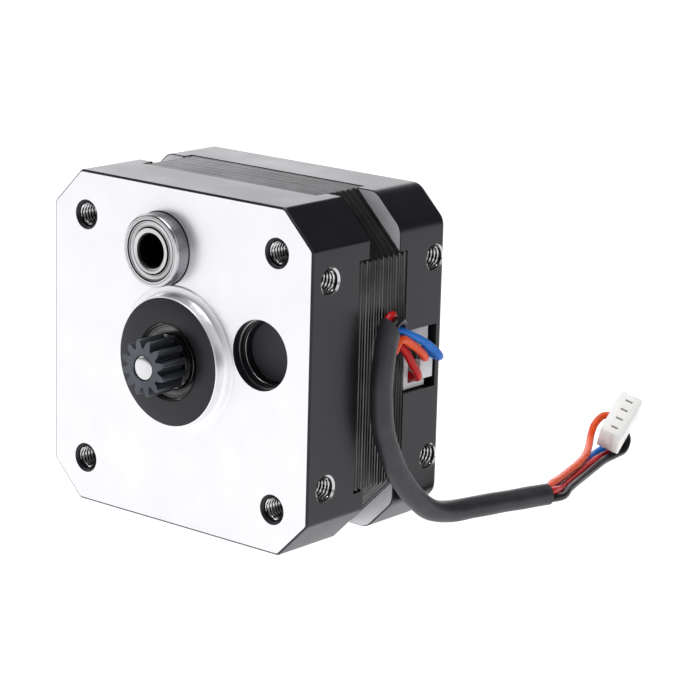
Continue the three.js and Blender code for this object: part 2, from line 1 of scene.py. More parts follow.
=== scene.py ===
"""Looks of the extruder's geared stepper drive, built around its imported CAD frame.

Shapes are drawn in millimetres in the motor's own frame: x to the right, depth d measured from the
gear face into the motor, and z up from the shaft. place() turns that into the part's frame in metres.
"""

import math

import bmesh
import bpy
from mathutils import Matrix, Vector


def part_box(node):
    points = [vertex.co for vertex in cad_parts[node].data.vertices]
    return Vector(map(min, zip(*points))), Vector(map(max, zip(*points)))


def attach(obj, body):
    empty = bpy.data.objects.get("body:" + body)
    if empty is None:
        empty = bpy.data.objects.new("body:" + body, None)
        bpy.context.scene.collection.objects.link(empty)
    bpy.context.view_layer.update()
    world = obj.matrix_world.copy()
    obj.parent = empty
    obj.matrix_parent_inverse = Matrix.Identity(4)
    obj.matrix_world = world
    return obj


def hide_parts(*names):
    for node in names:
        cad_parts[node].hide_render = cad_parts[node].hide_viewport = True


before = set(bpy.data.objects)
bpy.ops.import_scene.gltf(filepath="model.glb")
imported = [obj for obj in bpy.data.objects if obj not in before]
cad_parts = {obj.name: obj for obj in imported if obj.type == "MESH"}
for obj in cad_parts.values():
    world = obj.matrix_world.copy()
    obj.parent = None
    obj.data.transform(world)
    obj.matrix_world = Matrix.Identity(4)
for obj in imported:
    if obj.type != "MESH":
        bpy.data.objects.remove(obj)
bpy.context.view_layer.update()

MM = 0.001
TAU = 2 * math.pi

# The motor's sizes, as in the CAD model.
BODY = 42.0
BODY_DEPTH = 24.5
CORE_START, CORE_END = 8.4, 17.4
FRONT_LUG_END = 10.4
REAR_LUG_START = 15.95
LAMINATIONS = 18
HOLE_AT = 15.5
SIDE_HOLE_AT = 12.5
GEAR_CENTRES = 13.5
IDLER_ANGLE = math.radians(102)
POCKET_ANGLE = math.radians(12.4)

cap_low, cap_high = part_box("front_cap")
FACE_Y = cap_high[1] / MM - FRONT_LUG_END
AXIS_Z = (cap_low[2] + cap_high[2]) / 2 / MM


def place(point):
    """A point of the motor's own frame, in the part's frame."""
    x, d, z = point
    return Vector((x * MM, (d + FACE_Y) * MM, (z + AXIS_Z) * MM))


# ------------------------------------------------------------------ camera

CAMERA_AT = Vector((0.22037, -0.24462, 0.10380))
VIEW_DIRECTION = Vector((-0.61585, 0.74906, -0.24419)).normalized()
VIEW_UP = Vector((-0.17604, 0.17127, 0.96937))
LENS_MM = 141.98
SENSOR_MM = 36

camera = bpy.data.objects.new("camera", bpy.data.cameras.new("camera"))
bpy.context.scene.collection.objects.link(camera)
right = VIEW_DIRECTION.cross(VIEW_UP).normalized()
up = right.cross(VIEW_DIRECTION)
turn = Matrix((right, up, -VIEW_DIRECTION)).transposed().to_4x4()
camera.matrix_world = Matrix.Translation(CAMERA_AT) @ turn
camera.data.lens = LENS_MM
camera.data.sensor_width = SENSOR_MM
camera.data.clip_start = 0.01
bpy.context.scene.camera = camera

# ------------------------------------------------------------------ materials

EVEN = (1, 1, 1)
RAMP_START, RAMP_END = 0.3, 0.7


class Nodes:
    """A short way to write a material's node tree."""

    def __init__(self, name):
        self.material = bpy.data.materials.new(name)
        self.material.use_nodes = True
        self.tree = self.material.node_tree
        self.shader = self.tree.nodes["Principled BSDF"]
        self.position = self.tree.nodes.new("ShaderNodeTexCoord").outputs["Object"]

    def node(self, kind, inputs=None, **settings):
        """A new node, with its inputs linked to a socket or set to a value."""
        node = self.tree.nodes.new(kind)
        for key, value in settings.items():
            setattr(node, key, value)
        for key, value in (inputs or {}).items():
            if isinstance(value, bpy.types.NodeSocket):
                self.tree.links.new(value, node.inputs[key])
            else:
                node.inputs[key].default_value = value
        return node

    def set(self, **values):
        """Links or sets the shader's inputs, written with _ for each space."""
        for key, value in values.items():
            socket = self.shader.inputs[key.replace("_", " ")]
            if isinstance(value, bpy.types.NodeSocket):
                self.tree.links.new(value, socket)
            else:
                socket.default_value = value
        return self

    def noise(self, size_mm, detail, stretch=EVEN):
        scale = tuple(s / (size_mm * MM) for s in stretch)
        mapping = self.node("ShaderNodeMapping", {"Vector": self.position, "Scale": scale})
        inputs = {"Vector": mapping.outputs["Vector"], "Scale": 1.0, "Detail": detail}
        return self.node("ShaderNodeTexNoise", inputs).outputs["Fac"]

    def ramp(self, factor, low, high):
        ramp = self.node("ShaderNodeValToRGB", {"Fac": factor})
        stops = ramp.color_ramp.elements
        stops[0].position, stops[1].position = RAMP_START, RAMP_END
        stops[0].color, stops[1].color = colour(low), colour(high)
        return ramp.outputs["Color"]

    def spread(self, factor, low, high):
        inputs = {"Value": factor, "To Min": low, "To Max": high}
        return self.node("ShaderNodeMapRange", inputs).outputs["Result"]

    def bump(self, height, depth_mm, strength):
        inputs = {"Height": height, "Distance": depth_mm * MM, "Strength": strength}
        self.set(Normal=self.node("ShaderNodeBump", inputs).outputs["Normal"])
        return self


def colour(value):
    """The four numbers of a colour, from three or from one grey."""
    if isinstance(value, (int, float)):
        value = (value, value, value)
    return (*value, 1.0)


def painted(name, dark, light, roughness):
    """Sprayed paint over a casting: a faint orange peel, with its gloss and tone a little uneven."""
    m = Nodes(name)
    peel = m.noise(0.55, 2)
    patches = m.noise(7, 3)
    m.set(Base_Color=m.ramp(patches, dark, light))
    m.set(Roughness=m.spread(patches, roughness - 0.05, roughness + 0.07), Specular_IOR_Level=0.4)
    return m.bump(peel, 0.006, 0.35).material


def metal(name, dark, light, roughness, grain_mm, stretch, depth_mm, metallic=1.0):
    """Bare metal with a fine grain, drawn out along one direction by stretch."""
    m = Nodes(name)
    grain = m.noise(grain_mm, 4, stretch)
    tone = m.noise(5, 3)
    m.set(Base_Color=m.ramp(tone, dark, light), Metallic=metallic)
    m.set(Roughness=m.spread(grain, roughness - 0.05, roughness + 0.08))
    return m.bump(grain, depth_mm, 0.5).material


def turned(name, dark, light, roughness):
    """Metal faced on a lathe: its fine circles draw every highlight out into a wedge."""
    m = Nodes(name)
    tangent = m.node("ShaderNodeTangent", direction_type="RADIAL", axis="Y").outputs["Tangent"]
    m.set(Base_Color=m.ramp(m.noise(3, 2), dark, light), Roughness=roughness, Metallic=1.0)
    m.set(Anisotropic=0.9, Tangent=tangent)
    return m.material


def plastic(name, dark, light, roughness, subsurface, grain_mm=0.4, depth_mm=0.003, gloss=0.5):
    """Moulded plastic or PVC, which lets a little light in. gloss is how strongly it reflects."""
    m = Nodes(name)
    grain = m.noise(grain_mm, 3)
    m.set(Base_Color=m.ramp(m.noise(2.5, 2), dark, light), Specular_IOR_Level=gloss)
    m.set(Roughness=m.spread(grain, roughness - 0.04, roughness + 0.06))
    m.set(Subsurface_Weight=subsurface, Subsurface_Radius=(0.001, 0.001, 0.0008))
    return m.bump(grain, depth_mm, 0.4).material


PAINT = painted("cap_paint", (0.004, 0.004, 0.006), (0.008, 0.008, 0.011), 0.3)
DARK_PAINT = painted("pocket_paint", (0.005, 0.005, 0.007), (0.009, 0.009, 0.012), 0.36)
# Painted light: the pocket's floor keeps the cap's black paint, made several times lighter to stand in for
# the light that reaches it.
POCKET_FLOOR_PAINTED_LIGHT = painted("pocket_floor_painted_light", (0.05, 0.05, 0.056), (0.072, 0.072, 0.08), 0.6)
# Painted highlight: bright metal on the ledge edges inside the black pocket, standing in for the light those
# edges catch.
POCKET_EDGE_HIGHLIGHT = metal("pocket_edge_painted_highlight", 0.3, 0.42, 0.3, 0.1, EVEN, 0.001)
BARE = metal("bare_casting", (0.8, 0.8, 0.82), (0.9, 0.9, 0.92), 0.5, 0.15, (1, 1, 0.2), 0.003, 0.45)
MACHINED = metal("machined_face", (0.89, 0.89, 0.905), (0.93, 0.93, 0.94), 0.34, 0.1, (1, 1, 0.12), 0.0015,
                 0.75)
BRIGHT = metal("bright_steel", 0.6, 0.74, 0.2, 0.08, EVEN, 0.002)
THREAD = metal("thread_crest", 0.5, 0.7, 0.22, 0.1, EVEN, 0.002)
# Painted shade: the threads' roots take a near-black copy of the bright thread metal.
THREAD_ROOT_PAINTED_SHADE = metal("thread_root_painted_shade", 0.02, 0.04, 0.4, 0.1, EVEN, 0.002)
RING_STEEL = metal("ring_steel", 0.5, 0.62, 0.2, 0.07, EVEN, 0.0008)
# Painted shade: a darker copy of the ring steel for the outer rings' outside faces.
RING_SIDE_PAINTED_SHADE = metal("ring_side_painted_shade", (0.21, 0.21, 0.225), (0.29, 0.29, 0.305), 0.24, 0.07, (1, 0.15, 1),
                  0.0008)
# Painted shade: near-black steel for the inner rings' bores.
SHADED_BORE = metal("bore_painted_shade", 0.02, 0.05, 0.4, 0.1, EVEN, 0.001)
GROOVE = metal("groove_shadow", 0.06, 0.1, 0.35, 0.1, EVEN, 0.001)
SHIELD = turned("shield_steel", 0.5, 0.62, 0.32)
# Painted shade: a near-black copy of the turned shield steel, for the front bearing's shields deep in the
# boss's hole.
TURNED_PAINTED_SHADE = turned("turned_steel_painted_shade", 0.06, 0.12, 0.2)
# Painted shade: near-black steel for the pinion's collar and the front bearing's outer side, in the boss's
# hole.
COLLAR_PAINTED_SHADE = metal("collar_painted_shade", 0.02, 0.035, 0.25, 0.2, EVEN, 0.002)
LAMINATION = metal("lamination_steel", 0.02, 0.045, 0.36, 0.3, (1, 0.2, 1), 0.004, 0.85)
# Painted highlight: a lighter steel for each sheet's rounded edge, so every joint of the stack shows a bright
# line.
LAMINATION_EDGE_HIGHLIGHT = metal("lamination_edge_painted_highlight", 0.105, 0.19, 0.3, 0.5, (1, 0.2, 1), 0.003)
CORE_STEEL = metal("rotor_steel", 0.12, 0.2, 0.4, 0.3, EVEN, 0.004)
GEAR_STEEL = metal("gear_steel", (0.075, 0.082, 0.095), (0.11, 0.12, 0.135), 0.4, 0.15, EVEN, 0.004, 0.85)
SCREW_STEEL = metal("screw_steel", 0.05, 0.08, 0.35, 0.1, EVEN, 0.002)
COPPER = metal("winding_copper", (0.42, 0.14, 0.05), (0.6, 0.23, 0.09), 0.3, 0.25, (0.1, 1, 1), 0.03)
BRASS = metal("cage_brass", (0.55, 0.38, 0.14), (0.68, 0.5, 0.2), 0.3, 0.1, EVEN, 0.002)
MAGNET = metal("magnet_nickel", 0.25, 0.34, 0.35, 0.2, EVEN, 0.003)
WHITE = plastic("white_plastic", (0.66, 0.66, 0.66), (0.74, 0.74, 0.73), 0.4, 0.1)
PLUG_WHITE = plastic("plug_plastic", (0.9, 0.9, 0.84), (0.94, 0.94, 0.91), 0.35, 0.35)
NATURAL = plastic("insulator_plastic", (0.62, 0.6, 0.5), (0.7, 0.68, 0.58), 0.5, 0.1)
SLEEVE = plastic("sleeve_pvc", (0.018, 0.018, 0.021), (0.032, 0.032, 0.037), 0.42, 0.0, 1.4, 0.03)
CONTACT = metal("contact_tin", 0.1, 0.16, 0.3, 0.1, EVEN, 0.002)
LEAD_COLOURS = {
    "blue": ((0.008, 0.13, 0.52), (0.015, 0.18, 0.62)),
    "orange": ((0.72, 0.065, 0.01), (0.80, 0.09, 0.014)),
    "red": ((0.48, 0.006, 0.008), (0.56, 0.01, 0.012)),
    "black": ((0.008, 0.008, 0.010), (0.014, 0.014, 0.017)),
}
LEADS = {
    name: plastic(f"{name}_pvc", *tones, 0.33, 0.05, 0.8, 0.006, 0.25) for name, tones in LEAD_COLOURS.items()
}

# ------------------------------------------------------------------ mesh tools


SAME_POINT_M = 1e-7
BEVELLED_ABOVE = math.radians(40)


def add_mesh(name, verts, faces, materials, slots=None, sharp=30):
    """A mesh object from points already in metres. slots gives each face its material's number."""
    mesh = bpy.data.meshes.new(name)
    mesh.from_pydata([tuple(v) for v in verts], [], faces)
    for material in materials:
        mesh.materials.append(material)
    if slots:
        mesh.polygons.foreach_set("material_index", slots)
    work = bmesh.new()
    work.from_mesh(mesh)
    bmesh.ops.remove_doubles(work, verts=work.verts, dist=SAME_POINT_M)
    bmesh.ops.recalc_face_normals(work, faces=work.faces)
    work.to_mesh(mesh)
    work.free()
    smooth(mesh, sharp)
    obj = bpy.data.objects.new(name, mesh)
    bpy.context.scene.collection.objects.link(obj)
    return obj


def smooth(mesh, sharp):
    """Shades a mesh smooth, apart from edges sharper than an angle in degrees."""
    mesh.polygons.foreach_set("use_smooth", [True] * len(mesh.polygons))
    mesh.set_sharp_from_angle(angle=math.radians(sharp))


def joined(low, high, size):
    """The quads between two rings of points, numbered from low and from high."""
    return [[low + k, low + (k + 1) % size, high + (k + 1) % size, high + k] for k in range(size)]


def level_quads(levels, size, slots=None):
    """The quads up a stack of rings, and each one's material number."""
    faces, numbers = [], []
    for level in range(levels - 1):
        faces += joined(level * size, (level + 1) * size, size)
        numbers += [slots[level] if slots else 0] * size
    return faces, numbers


def stack_rings(rings, slots=None, cap_slots=(0, 0)):
    """Faces that join each ring of points to the next, with both ends closed."""
    size = len(rings[0])
    sides, numbers = level_quads(len(rings), size, slots)
    last = (len(rings) - 1) * size
    faces = [list(range(size)), *sides, list(range(last, last + size))]
    return [p for ring in rings for p in ring], faces, [cap_slots[0], *numbers, cap_slots[1]]


def closed_loops(name, loops, material, sharp):
    """A solid like a bent tube: each loop of points is joined to the next, and the last to the first."""
    size = len(loops[0])
    faces = []
    for level in range(len(loops)):
        faces += joined(level * size, (level + 1) % len(loops) * size, size)
    return add_mesh(name, [p for loop in loops for p in loop], faces, [material], None, sharp)


def square(half, leg, round_by, steps=3):
    """A square outline of (x, z) with chamfered corners, whose eight vertices are rounded off."""
    near = half - leg
    corners = [(near, -half), (half, -near), (half, near), (near, half),
               (-near, half), (-half, near), (-half, -near), (-near, -half)]
    points = []
    back = round_by * math.tan(math.pi / 8)
    for i, corner in enumerate(corners):
        here, before, after = (Vector(corners[j % 8]) for j in (i, i - 1, i + 1))
        start = here + (before - here).normalized() * back
        end = here + (after - here).normalized() * back
        for step in range(steps + 1):
            t = step / steps
            points.append(start.lerp(here, t).lerp(here.lerp(end, t), t))
    return [(p.x, p.y) for p in points]


def loft(name, sections, materials, slots=None, cap_slots=(0, 0), sharp=30):
    """A solid through outlines of (x, z), each at its own depth."""
    rings = [[place((x, d, z)) for x, z in outline] for d, outline in sections]
    verts, faces, numbers = stack_rings(rings, slots, cap_slots)
    return add_mesh(name, verts, faces, materials, numbers, sharp)


def axis_frame(centre, axis):
    """A map from (radius, along, angle) about an axis through centre to the part's frame."""
    along = Vector(axis)
    side = Vector((0, 0, 1))
    cross = along.cross(side)

    def at(radius, distance, angle):
        spoke = side * math.cos(angle) + cross * math.sin(angle)
        return place(Vector(centre) + along * distance + spoke * radius)

    return at


def lathe(name, profile, materials, centre=(0, 0, 0), axis=(0, 1, 0), segments=64, slots=None, sharp=30):
    """Turns a closed (radius, along) profile about an axis. slots numbers the face after each point."""
    at = axis_frame(centre, axis)
    closed = all(radius > 0 for radius, _ in profile)
    points = profile + profile[:1] if closed else profile
    verts = []
    for radius, distance in points:
        verts += [at(radius, distance, TAU * i / segments) for i in range(segments)]
    faces, numbers = level_quads(len(points), segments, slots)
    return add_mesh(name, verts, faces, materials, numbers, sharp)


def box(name, low, high, material, to_part=place):
    """A box between two corners, which to_part brings into the part's frame."""
    corners = [(x, y, z) for x in (low[0], high[0]) for y in (low[1], high[1]) for z in (low[2], high[2])]
    faces = [[0, 1, 3, 2], [4, 6, 7, 5], [0, 4, 5, 1], [2, 3, 7, 6], [0, 2, 6, 4], [1, 5, 7, 3]]
    return add_mesh(name, [to_part(corner) for corner in corners], faces, [material])


def bevel(obj, width_mm, segments):
    """Rounds the sharp edges of a piece."""
    work = bmesh.new()
    work.from_mesh(obj.data)
    edges = [e for e in work.edges if len(e.link_faces) == 2 and e.calc_face_angle() > BEVELLED_ABOVE]
    bmesh.ops.bevel(work, geom=edges, offset=width_mm * MM, segments=segments, profile=0.5, affect="EDGES",
                    clamp_overlap=True)
    work.to_mesh(obj.data)
    work.free()
    smooth(obj.data, 30)
    return obj


def combine(obj, others, operation, sharp=30):
    """Cuts the others out of obj, or joins them to it. Each keeps its own materials."""
    for other in others:
        change = obj.modifiers.new("change", "BOOLEAN")
        change.operation = operation
        change.solver = "EXACT"
        change.material_mode = "TRANSFER"
        change.object = other
    bpy.context.view_layer.update()
    shaped = obj.evaluated_get(bpy.context.evaluated_depsgraph_get())
    mesh = bpy.data.meshes.new_from_object(shaped)
    obj.modifiers.clear()
    obj.data = mesh
    for other in others:
        bpy.data.objects.remove(other)
    smooth(mesh, sharp)
    return obj


def cut(obj, cutters, sharp=30):
    """Cuts the cutters out of obj and removes them."""
    return combine(obj, cutters, "DIFFERENCE", sharp)


def merge(name, objects):
    """Joins separate objects into one mesh object, with their materials."""
    with bpy.context.temp_override(active_object=objects[0], selected_editable_objects=objects):
        bpy.ops.object.join()
    objects[0].name = name
    objects[0].data.name = name
    return objects[0]


def piece(obj, body="housing", replaces=()):
    """Puts a finished object on its body and the CAD nodes that it stands for."""
    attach(obj, body)
    if replaces:
        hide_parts(*replaces)
    return obj


def polar(radius, angle):
    """The two coordinates of a point at a radius and an angle."""
    return radius * math.cos(angle), radius * math.sin(angle)


def rod(radius, start, end, material, x=0.0, z=0.0, segments=48):
    """A plain cylinder along the motor's depth."""
    return lathe("rod", [(0, start), (radius, start), (radius, end), (0, end)], [material], (x, 0, z),
                 segments=segments)


# ------------------------------------------------------------------ leads and sleeve

LEAD_RADIUS = 0.5
LEAD_LINE_STEP = 0.35
SLEEVE_RADIUS = 1.4
SLEEVE_BORE = 1.22
SLEEVE_LINE_STEP = 0.6
SLEEVE_CUT_ANGLE = math.radians(29)
SLEEVE_CUT_AT = 13.28
SLEEVE_CUT_RINGS = 12
LEAD_OFF_SLEEVE_LINE = 0.7
INSIDE_EVERY = 5

SLEEVE_ROUTE = [
    (22.9, 12.5, 6.9), (22.9, 11.9, 5.2), (22.9, 11.35, 3.2), (22.9, 10.95, 0.8), (22.9, 10.85, -2.6),
    (22.9, 11.4, -6.4), (22.9, 12.9, -9.9), (22.9, 15.1, -13.3), (22.9, 17.9, -16.3), (22.95, 21.2, -18.6),
    (23.3, 24.8, -19.5), (24.2, 28.6, -19.58), (25.3, 32.3, -19.58), (26.4, 35.8, -19.58),
    (27.5, 39.3, -19.58),
]

# Each lead: its route from the window to the sleeve's mouth, its place in the sleeve at the mouth and
# at the far end, as an angle about the sleeve's line, and its route from there to the plug.
LEAD_ROUTES = {
    "blue": (
        [
            (18.6, 22.1, 0.95), (19.6, 22.1, 0.95), (20.6, 22.15, 0.9), (21.6, 22.4, 0.6), (22.5, 22.3, 0.5),
            (23, 21.5, 1.05), (23, 20.1, 2.15), (22.9, 18.3, 3.3), (22.8, 16.7, 4.05), (22.7, 15.3, 4.7),
            (22.6, 14.3, 5.15), (22.5, 13.4, 5.25), (22.4, 12.7, 4.8), (22.4, 12.3, 4.1),
        ],
        135, 225,
        [
            (25.85, 42.2, -20.45), (24.5, 45, -20.45), (23.2, 48.9, -20.45), (21.8, 52.9, -20.45),
            (20.8, 56.5, -20.45), (20, 59.4, -20.45), (19.5, 61.4, -20.45), (19.45, 62.95, -20.2),
            (20, 63.65, -19.6), (20.7, 63.15, -19.15), (21.52, 61.91, -18.73),
        ],
    ),
    "orange": (
        [
            (18.6, 20.95, 0.95), (19.6, 20.95, 0.95), (20.6, 20.95, 0.85), (21.5, 20.6, 0.6),
            (22.2, 19.9, 0.8), (22.6, 18.8, 1.6), (22.85, 17.4, 2.5), (23.05, 15.8, 3.4), (23.2, 14.5, 4.1),
            (23.3, 13.5, 4.2), (23.4, 12.8, 3.7), (23.4, 12.4, 2.9),
        ],
        45, 135,
        [
            (26.1, 42.3, -19.05), (25.2, 45.1, -19.28), (24, 48.7, -19.4), (22.8, 52.6, -19.4),
            (21.3, 56.4, -19.35), (19.2, 60.3, -19.1), (17.6, 63, -18.5), (16.9, 64.9, -17.5),
            (17.3, 66.15, -16.6), (18.8, 66.6, -16.4), (20.3, 66.2, -16.35), (21.33, 65.29, -15.87),
        ],
    ),
    "red": (
        [
            (18.6, 19.85, -1.9), (19.6, 19.85, -1.9), (20.6, 19.9, -1.95), (21.5, 19.5, -1.75),
            (22.1, 18.6, -0.9), (22.2, 17.4, 0.5), (22.1, 16.4, 1.9), (21.8, 15.4, 3.2), (21.55, 14.7, 4.6),
            (21.52, 14.45, 5.8), (21.75, 14.1, 6.75), (22.15, 13.3, 7.1), (22.35, 12.4, 6.8),
            (22.4, 11.8, 6),
        ],
        225, 405,
        [
            (27.1, 42.3, -19.7), (25.7, 45, -20.4), (25, 47, -20.45), (23, 53, -20.45),
            (21.95, 56.5, -20.45), (21.1, 60, -20.45), (20.75, 62.6, -20.45), (20.62, 64.55, -20.15),
            (20.72, 65.2, -19.3), (21, 64.45, -18.5), (21.41, 63.1, -17.83),
        ],
    ),
    "black": (
        [
            (18.6, 19.85, 0.5), (19.6, 19.85, 0.5), (20.5, 19.7, 0.7), (21.3, 19.2, 1.3), (21.55, 18.2, 2.3),
            (21.55, 17.2, 3.3), (21.6, 16.4, 4.4), (21.95, 15.75, 5.3), (22.5, 15.05, 6), (22.95, 14.2, 6.4),
            (23.25, 13.3, 6.5), (23.4, 12.4, 6.15), (23.4, 11.9, 5.4),
        ],
        315, 315,
        [
            (27.95, 42.2, -20.35), (26.9, 45, -20.2), (24.15, 53, -20.45), (23.1, 56.5, -20.45),
            (22.15, 60, -20.45), (21.75, 63, -20.45), (21.6, 65.2, -20.2), (21.25, 66.35, -19.1),
            (20.98, 65.8, -17.75), (21.34, 64.3, -16.92),
        ],
    ),
}


def smooth_line(points, step_mm):
    """Points along the Catmull-Rom curve through the given ones, about a step apart."""
    points = [Vector(p) for p in points]
    ends = [2 * points[0] - points[1], *points, 2 * points[-1] - points[-2]]
    line = []
    for a, b, c, d in zip(ends, ends[1:], ends[2:], ends[3:]):
        t0, t1 = 0.0, (b - a).length ** 0.5
        t2 = t1 + (c - b).length ** 0.5
        t3 = t2 + (d - c).length ** 0.5
        count = max(2, round((c - b).length / step_mm))
        for i in range(count):
            t = t1 + (t2 - t1) * i / count
            a1 = a.lerp(b, (t - t0) / (t1 - t0))
            a2 = b.lerp(c, (t - t1) / (t2 - t1))
            a3 = c.lerp(d, (t - t2) / (t3 - t2))
            b1 = a1.lerp(a2, (t - t0) / (t2 - t0))
            b2 = a2.lerp(a3, (t - t1) / (t3 - t1))
            line.append(b1.lerp(b2, (t - t1) / (t2 - t1)))
    return [*line, points[-1]]


def carried_frames(line, first_side):
    """For each point of a line, a pair of directions across it that don't twist along it."""
    side = Vector(first_side)
    frames = []
    for i, point in enumerate(line):
        tangent = (line[min(i + 1, len(line) - 1)] - line[max(i - 1, 0)]).normalized()
        side = (side - tangent * side.dot(tangent)).normalized()
        frames.append((side.copy(), side.cross(tangent)))
    return frames


sleeve_line = smooth_line(SLEEVE_ROUTE, SLEEVE_LINE_STEP)
sleeve_frames = carried_frames(sleeve_line, (1, 0, 0))


def inside_sleeve(first, last):
    """A lead's line through the sleeve, which turns about the sleeve's line from one angle to the other."""
    points = []
    for i in range(INSIDE_EVERY, len(sleeve_line), INSIDE_EVERY):
        t = i / (len(sleeve_line) - 1)
        eased = t * t * (3 - 2 * t)
        across, over = polar(LEAD_OFF_SLEEVE_LINE, math.radians(first + (last - first) * eased))
        side, normal = sleeve_frames[i]
        points.append(sleeve_line[i] + side * across + normal * over)
    return points


def tube(name, line, radius, material, sides=16, bore=0.0, uneven=None, end=None):
    """A round tube along a line. With a bore it is hollow. uneven gives each point's change of radius, and
    end reshapes the rings at the first end."""
    frames = carried_frames(line, (0.9, 0.1, 0.4))

    def rings_of(size):
        rings = []
        for i, (point, (side, normal)) in enumerate(zip(line, frames)):
            ring = []
            for k in range(sides):
                angle = TAU * k / sides
                grown = size * (1 + (uneven(i, angle) if uneven else 0))
                ring.append(point + side * grown * math.cos(angle) + normal * grown * math.sin(angle))
            rings.append(ring)
        return [[place(p) for p in ring] for ring in (end(rings) if end else rings)]

    if not bore:
        verts, faces, numbers = stack_rings(rings_of(radius))
        return add_mesh(name, verts, faces, [material], numbers, 50)
    return closed_loops(name, rings_of(radius) + rings_of(bore)[::-1], material, 50)


def sleeve_wrinkle(i, angle):
    """The sleeve is a soft tube: its radius is a little uneven, and a little under its full size."""
    at = i / len(sleeve_line)
    soft = 0.012 * math.sin(9 * at * TAU + 1.3 * math.cos(angle)) + 0.008 * math.sin(23 * at + 2 * angle)
    return soft - 0.02


def slanted(rings):
    """Begins each line along the sleeve at a slanting cut, and spreads its first points out from there."""
    cut_side = Vector((0, math.cos(SLEEVE_CUT_ANGLE), math.sin(SLEEVE_CUT_ANGLE)))
    shaped = [list(ring) for ring in rings]
    for k in range(len(rings[0])):
        over = [rings[i][k].dot(cut_side) - SLEEVE_CUT_AT for i in range(SLEEVE_CUT_RINGS)]
        first = next(i for i in range(SLEEVE_CUT_RINGS) if over[i] <= 0)
        start = first - over[first] / (over[first] - over[first - 1]) if first else 0
        for i in range(SLEEVE_CUT_RINGS):
            at = start + (SLEEVE_CUT_RINGS - start) * i / SLEEVE_CUT_RINGS
            low = int(at)
            shaped[i][k] = rings[low][k].lerp(rings[low + 1][k], at - low)
    return shaped


sleeve = tube("lead_sleeve", sleeve_line, SLEEVE_RADIUS, SLEEVE, 28, SLEEVE_BORE, sleeve_wrinkle, slanted)
piece(sleeve, replaces=["cable_sleeve"])

lead_pieces = {}
for name, (motor_side, first, last, plug_side) in LEAD_ROUTES.items():
    line = smooth_line(motor_side + inside_sleeve(first, last) + plug_side, LEAD_LINE_STEP)
    lead = tube(f"{name}_lead", line, LEAD_RADIUS, LEADS[name])
    piece(lead, replaces=[f"{name}_lead_motor_side", f"{name}_lead_plug_side"])
    lead_pieces[name] = (lead, [place(p) for p in line])

# ------------------------------------------------------------------ plug

PLUG_CENTRE = Vector((22.52, 62.36, -15.71))
plug_row = Vector((0.055, -0.778, -0.626)).normalized()
plug_face = Vector((0.476, -0.531, 0.701))
plug_across = plug_face.cross(plug_row).normalized()
plug_face = plug_row.cross(plug_across)


def plug_place(point):
    """A point of the plug's own frame (along its row, across it, out of its face) in the part's frame."""
    row, across, face = point
    return place(PLUG_CENTRE + plug_row * row + plug_across * across + plug_face * face)


def plug_box(name, row, half_row, across, face, material=PLUG_WHITE):
    """A box in the plug's own frame, centred on a place along its row."""
    low, high = (row - half_row, across[0], face[0]), (row + half_row, across[1], face[1])
    return box(name, low, high, material, plug_place)


# Each: half its size along the row, then its two ends across the row and out of the face.
CONTACT_ROWS = [-2.25, -0.75, 0.75, 2.25]
PLUG_SHELL = (3.42, (-1.57, 1.57), (-2.22, 2.22))
PLUG_HOLES = {
    "slot": (0.16, (-0.5, 0.5), (0.6, 3)),
    "entry": (0.55, (-0.62, 0.62), (-3, -1.2)),
    "lance": (0.28, (-2, -1.25), (-0.9, 0.5)),
}
GROOVE_ROWS = (-3.45, 3.45)
PLUG_GROOVE = (0.12, (-0.35, 0.35), (-0.6, 3))
PLUG_CONTACT = (0.15, (-0.45, 0.48), (-1.0, 0.55))

plug_cutters = [plug_box(name, row, *size) for row in CONTACT_ROWS for name, size in PLUG_HOLES.items()]
plug_cutters += [plug_box("groove", row, *PLUG_GROOVE) for row in GROOVE_ROWS]
plug = cut(bevel(plug_box("plug_shell", 0, *PLUG_SHELL), 0.22, 3), plug_cutters)
piece(plug, replaces=["plug_housing"])
contacts = merge("plug_contacts", [plug_box("contact", row, *PLUG_CONTACT, CONTACT) for row in CONTACT_ROWS])
piece(contacts)

for name, (lead, path) in lead_pieces.items():
    length = sum((b - a).length for a, b in zip(path, path[1:]))
    tuple(path[0])
    [tuple(p) for p in path]

# ------------------------------------------------------------------ front cap

THREAD_MAJOR = 1.5
THREAD_MINOR = 1.2
THREAD_PITCH = 0.5
BOLT_CLEARANCE = 1.7
BOLT_HOLE_MOUTH = 1.86
FRONT_SIDE_HOLES = 3.2
FRONT_SIDE_MOUTH = 1.76
REAR_SIDE_HOLES = 22.75
REAR_SIDE_MOUTH = 1.7
ROTOR_ROOM = 17.8
CAP_SHARP = 12

bolt_places = [(x * HOLE_AT, z * HOLE_AT) for x, z in ((1, 1), (-1, 1), (-1, -1), (1, -1))]
side_hole_heights = (-SIDE_HOLE_AT, SIDE_HOLE_AT)
idler_at = polar(GEAR_CENTRES, IDLER_ANGLE)
pocket_at = polar(GEAR_CENTRES, POCKET_ANGLE)


def core_room(start, end):
    """The room inside a cap's four lugs, for the stator core."""
    outline = square(22, 8.8, 0)
    return loft("core_room", [(start, outline), (end, outline)], [PAINT])


def bolt_hole(x, z):
    """The cutter for a tapped hole through the gear face."""
    mouth, root = BOLT_HOLE_MOUTH, THREAD_MAJOR + 0.02
    profile = [(0, -1), (mouth, -1), (mouth, 0), (root, 0.32), (root, 26), (0, 26)]
    return lathe("bolt_hole", profile, [DARK_PAINT], (x, 0, z), segments=48)


def side_hole(d, z, mouth):
    """The cutter for a tapped hole in the side that the leads leave, with a bright countersink."""
    profile = [(0, -1), (mouth, -1), (mouth, 0), (THREAD_MAJOR, 0.2), (THREAD_MAJOR, 2.8), (0, 3.2)]
    materials, slots = [DARK_PAINT, RING_STEEL], [0, 0, 1, 0, 0]
    return lathe("side_hole", profile, materials, (BODY / 2, d, z), (-1, 0, 0), 48, slots)


